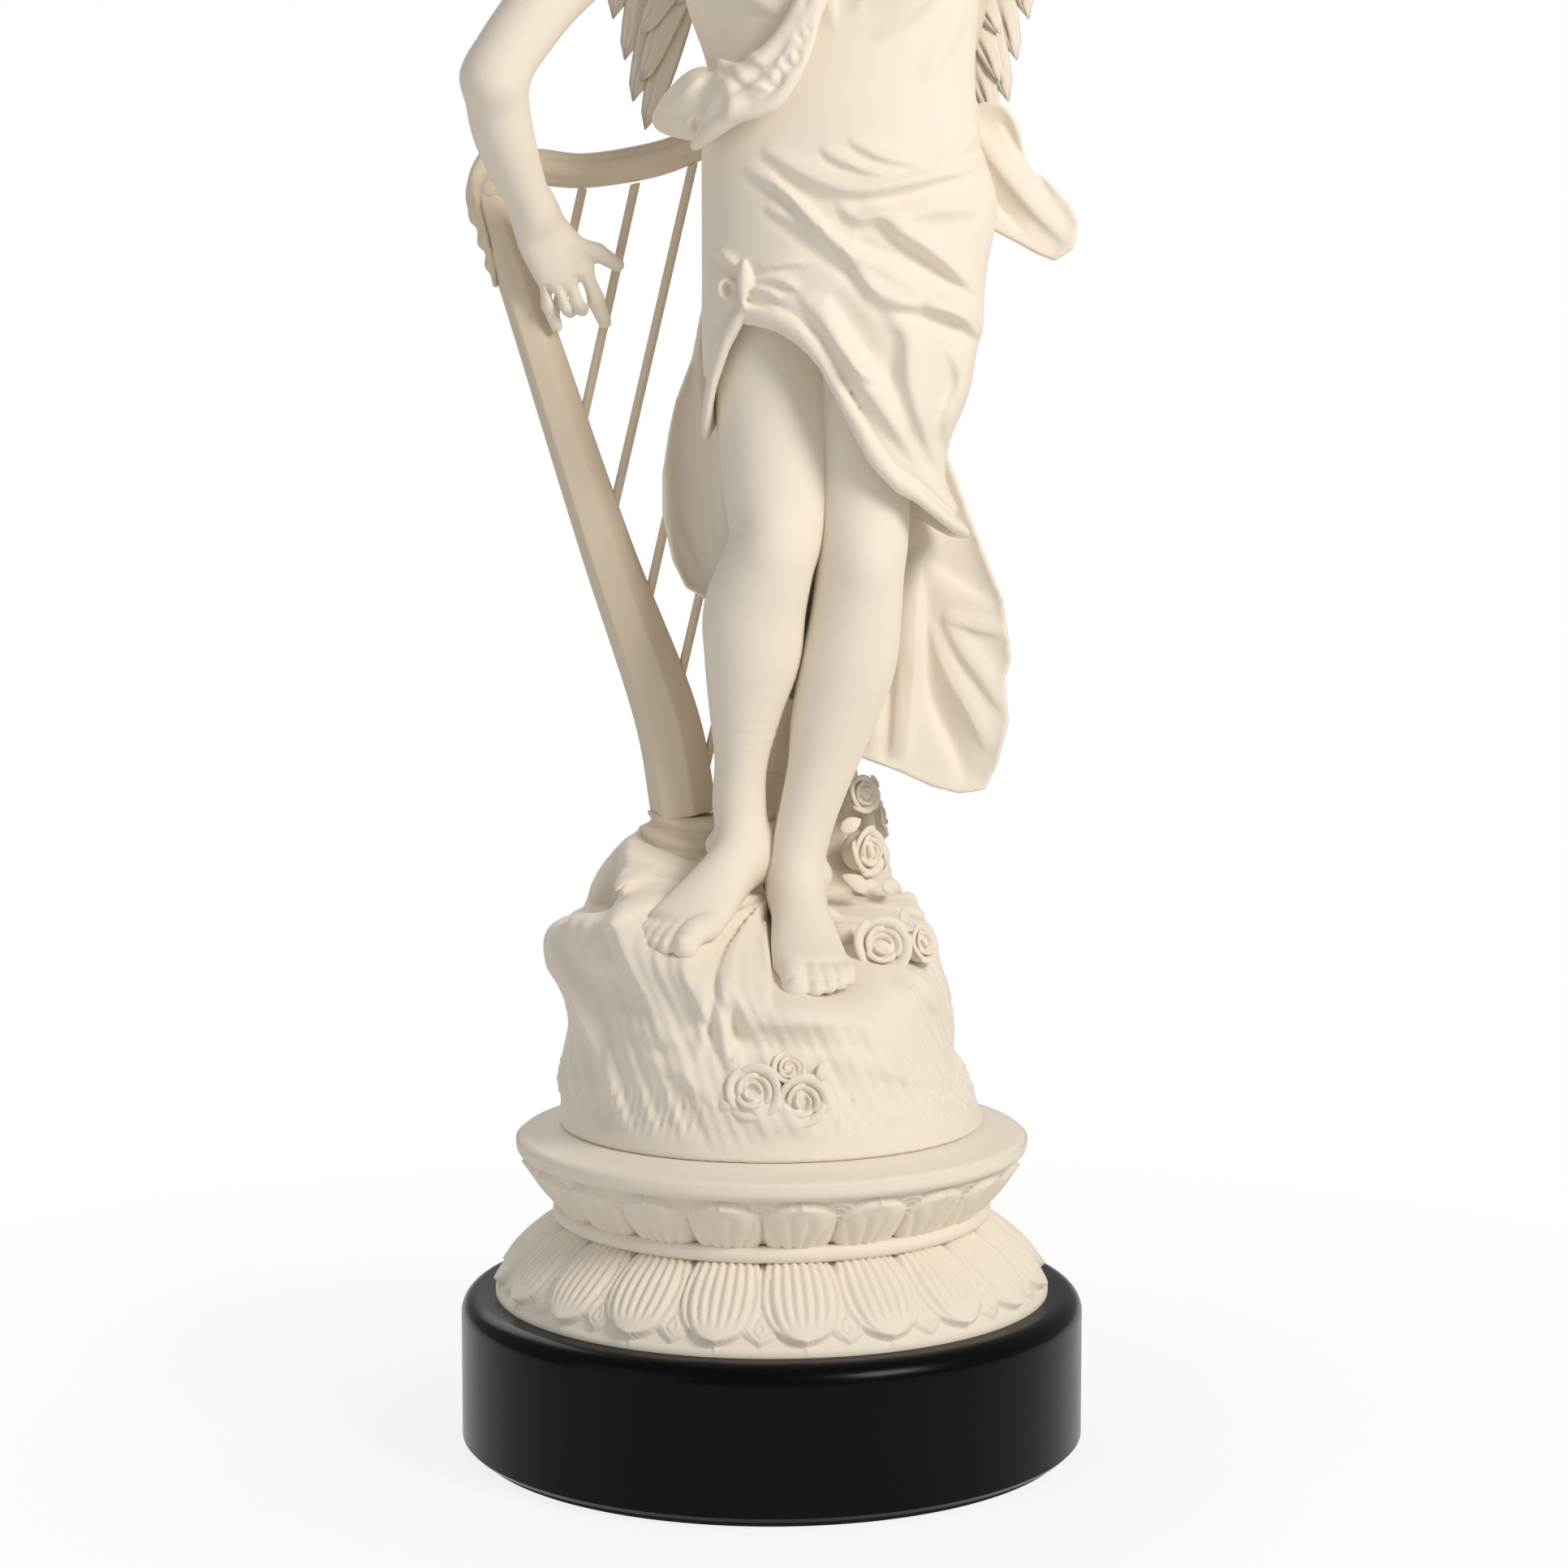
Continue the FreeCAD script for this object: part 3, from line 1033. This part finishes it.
def wing():
    """Folded wing in three layers of rounded feathers under a thick leading edge."""
    pieces = [feather_plate(share, thick) for share, thick in WING_LAYERS]
    arch = limb(((30, 12, 290, 5, 5), (28, 24, 300, 6.5, 5), (29, 34, 318, 7, 5.5),
                 (33, 38.5, 345, 7, 6), (42, 38.5, 372, 7.5, 6.5), (58, 38.5, 388, 7.5, 6.5),
                 (76, 38.5, 391, 7, 6), (90, 38.5, 382, 5.5, 5), (96, 38.5, 368, 3, 3)))
    return pieces[0].fuse(pieces[1:] + [arch]).removeSplitter()


wing_shape = wing()
left_wing_shape = wing_shape
right_wing_shape = mirrored(wing_shape, WING_AXIS)

# ------------------------------------------------------------------ harp of the figure

HARP_Y = size("Sizes.harp_setback")
SOUNDBOX = ((-27, 25, 10.2, 10), (-33, 57, 9.8, 9.5), (-50.7, 107, 8.0, 8.2),
            (-70.8, 169, 6.6, 7), (-81.5, 202, 5.8, 6))
HARP_NECK = ((-85, 216, 6.5), (-75, 222.5, 6), (-57, 221.5, 5.5), (-37, 224.5, 5.5),
             (-23.5, 229, 5.2), (-6, 236, 5.2), (13, 246, 5.2), (30, 257, 5.2), (47, 272, 5.2),
             (60, 292, 5.2), (68, 316, 5.4), (74, 340, 5.8), (80, 358, 6.4))
PILLAR = ((-1, 27), (81, 352))
STRINGS = (((-57.2, 217), (-67.4, 172)), ((-40.8, 220), (-57.7, 146)), ((-23.5, 225), (-48, 121)),
           ((-5.8, 232), (-37.6, 93)), ((12.8, 242), (-28, 68)), ((29.7, 252), (-19, 46)),
           ((47.5, 267), (-10, 26)))


def soundbox():
    """Tapered six-sided box that leans with the strings."""
    rings = []
    for x, z, wide, deep in SOUNDBOX:
        corners = [Vector(x + wide * across, HARP_Y + deep * along, z)
                   for across, along in ((-1, -0.35), (-0.1, -1), (1, -0.6), (1, 0.6), (0, 1),
                                         (-1, 0.35))]
        rings.append(Part.makePolygon(corners + corners[:1]))
    return Part.makeLoft(rings, True, True)


def upright(x, z):
    return Vector(x, HARP_Y, z)


def pillar():
    foot, top = upright(*PILLAR[0]), upright(*PILLAR[1])
    run = top - foot
    column = Part.makeCone(5.4, 4.2, run.Length, foot, run)
    rings = [Part.makeTorus(4.6, 1.6, foot + run * share, run) for share in (0.03, 0.94, 0.97)]
    return column.fuse(rings)


soundbox_shape = soundbox()
neck_bar = limb([(x, HARP_Y, z, 5.8, deep) for x, z, deep in HARP_NECK], Vector(0, 1, 0))
scroll = Part.makeCylinder(10.5, 15, Vector(-83.5, HARP_Y - 7.5, 213), Vector(0, 1, 0))
crest = Part.makeCylinder(11, 15, Vector(84, HARP_Y - 7.5, 360), Vector(0, 1, 0))
harp_neck_shape = neck_bar.fuse([scroll, crest]).removeSplitter()
pillar_shape = pillar()
harp_foot_shape = level_loft(((-24, 21, -8, 22, 13), (-24, 21, 6, 20, 12),
                              (-23, 22, 16, 18.5, 11.5), (-22, 22.5, 25.5, 16.5, 11)))

# ------------------------------------------------------------------ cast pieces, each cut clear

right_leg_shape = standing(right_leg_shape, TOP_PLANE)
left_leg_shape = clear(standing(left_leg_shape, LEDGE_PLANE), right_leg_shape)
stump_shape = clear(standing(stump_shape, TOP_PLANE), left_leg_shape, PIPE_WAY)
pillar_shape = clear(pillar_shape, stump_shape)
harp_foot_shape = clear(standing(harp_foot_shape, TOP_PLANE), right_leg_shape, pillar_shape,
                        stump_shape)
rock_shape = clear(rock_shape, PIPE_WAY)
tunic_shape = clear(tunic_shape, right_leg_shape, left_leg_shape)
sash_shape = clear(sash_shape, torso_shape, tunic_shape)
neck_shape = clear(neck_shape, torso_shape, sash_shape)
head_shape = clear(head_shape.fuse(neck_shape).removeSplitter(), torso_shape)
hair_shape = clear(hair_shape, head_shape, PIPE_WAY)
right_arm_shape = clear(right_arm_shape, torso_shape, tunic_shape, sash_shape)
left_arm_shape = clear(left_arm_shape, torso_shape, sash_shape)
harp_neck_shape = clear(harp_neck_shape, pillar_shape, torso_shape, tunic_shape, left_arm_shape)
soundbox_shape = clear(soundbox_shape, harp_neck_shape, harp_foot_shape, right_leg_shape)
side_shape = clear(side_shape, right_leg_shape, tunic_shape, soundbox_shape)
train_shape = clear(train_shape, left_leg_shape, right_leg_shape, tunic_shape, side_shape)
hip_shape = clear(hip_shape, torso_shape, tunic_shape, train_shape)
left_wing_shape = clear(left_wing_shape, torso_shape, harp_neck_shape, pillar_shape, PIPE_WAY)
right_wing_shape = clear(right_wing_shape, torso_shape, right_arm_shape, PIPE_WAY)


def string_group():
    """Seven round strings between the neck and the soundbox, each a solid of its own."""
    strings = []
    for top, low in STRINGS:
        start, stop = upright(*top), upright(*low)
        run = stop - start
        string = Part.makeCylinder(size("Sizes.string_radius"), run.Length + 14,
                                   start - run.normalize() * 7, stop - start)
        strings.append(string)
    return strings


string_shapes = [clear(string, harp_neck_shape, soundbox_shape, harp_foot_shape)
                 for string in string_group()]
rock_rose_shapes = [clear(item, rock_shape, right_leg_shape, left_leg_shape)
                    for item in roses(ROCK_ROSES)]
stump_rose_shapes = [clear(item, stump_shape, rock_shape, left_leg_shape, pillar_shape, PIPE_WAY)
                     for item in roses(STUMP_ROSES)]

for label, shape in (
        ("rock_mound", rock_shape), ("rose_stump", stump_shape),
        ("rock_roses", Part.makeCompound(rock_rose_shapes)),
        ("stump_roses", Part.makeCompound(stump_rose_shapes)),
        ("right_leg", right_leg_shape), ("left_leg", left_leg_shape),
        ("tunic_skirt", tunic_shape), ("draped_torso", torso_shape), ("sash", sash_shape),
        ("train_drape", train_shape), ("side_drape", side_shape), ("hip_drape", hip_shape),
        ("right_arm", right_arm_shape), ("left_arm", left_arm_shape),
        ("head", head_shape), ("hair", hair_shape),
        ("right_wing", right_wing_shape), ("left_wing", left_wing_shape),
        ("harp_foot", harp_foot_shape), ("harp_soundbox", soundbox_shape),
        ("harp_neck", harp_neck_shape), ("harp_pillar", pillar_shape),
        ("harp_strings", Part.makeCompound(string_shapes))):
    cast(label, shape)

# ------------------------------------------------------------------ checks and export

doc.recompute()
for item in doc.Objects:
    if "Invalid" in item.State or "Error" in item.State:
        raise RuntimeError("%s failed: %s" % (item.Name, item.State))
for piece in finished:
    if piece.Shape.isNull() or not piece.Shape.isValid():
        raise RuntimeError("%s has no sound shape" % piece.Label)
for piece in finished:
    piece.Shape.exportStep(os.path.join("parts", piece.Label + ".step"))
print("%d sub-parts written" % len(finished))
